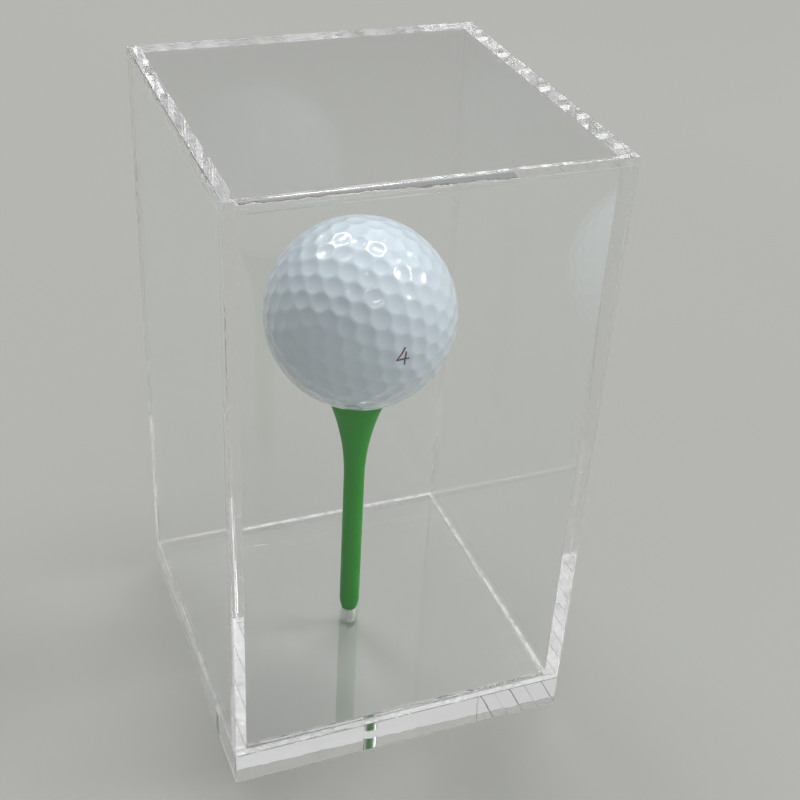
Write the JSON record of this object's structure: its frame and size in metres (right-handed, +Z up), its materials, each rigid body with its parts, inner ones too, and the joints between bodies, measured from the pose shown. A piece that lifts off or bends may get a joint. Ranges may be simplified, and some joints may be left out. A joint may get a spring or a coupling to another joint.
{
  "type": "golf ball display case",
  "caption": "Clear acrylic display case with a lift-off cover, a thick base and a plug-in green tee that carries a dimpled golf ball.",
  "frame": {"origin": "middle of the base's underside, on the axis of the tee", "axes": "+Z up through the tee, the ball and the top panel; -Y is the front; +X is to the right seen from the front"},
  "size_m": [0.08, 0.08, 0.143],
  "materials": {
    "acrylic": "clear polished cast acrylic",
    "green_plastic": "satin painted green",
    "ball_white": "white lacquered",
    "ball_mantle_plastic": "moulded",
    "ball_rubber": "moulded rubber"
  },
  "bodies": {
    "base": {"base_plate": "acrylic", "locating_plate": "acrylic"},
    "cover": {"front_panel": "acrylic", "back_panel": "acrylic", "left_panel": "acrylic", "right_panel": "acrylic", "top_panel": "acrylic"},
    "tee": {"golf_tee": "green_plastic"},
    "ball": {"ball_cover": "ball_white", "ball_mantle": "ball_mantle_plastic", "ball_core": "ball_rubber"}
  },
  "joints": [
    {"name": "cover_lift", "type": "slide", "parent": "base", "child": "cover", "axis": [0, 0, 1], "range_m": [0, 0.135]},
    {"name": "tee_lift", "type": "slide", "parent": "base", "child": "tee", "axis": [0, 0, 1], "range_m": [0, 0.009]},
    {"name": "ball_lift", "type": "slide", "parent": "tee", "child": "ball", "axis": [0, 0, 1], "range_m": [0, 0.015]}
  ]
}
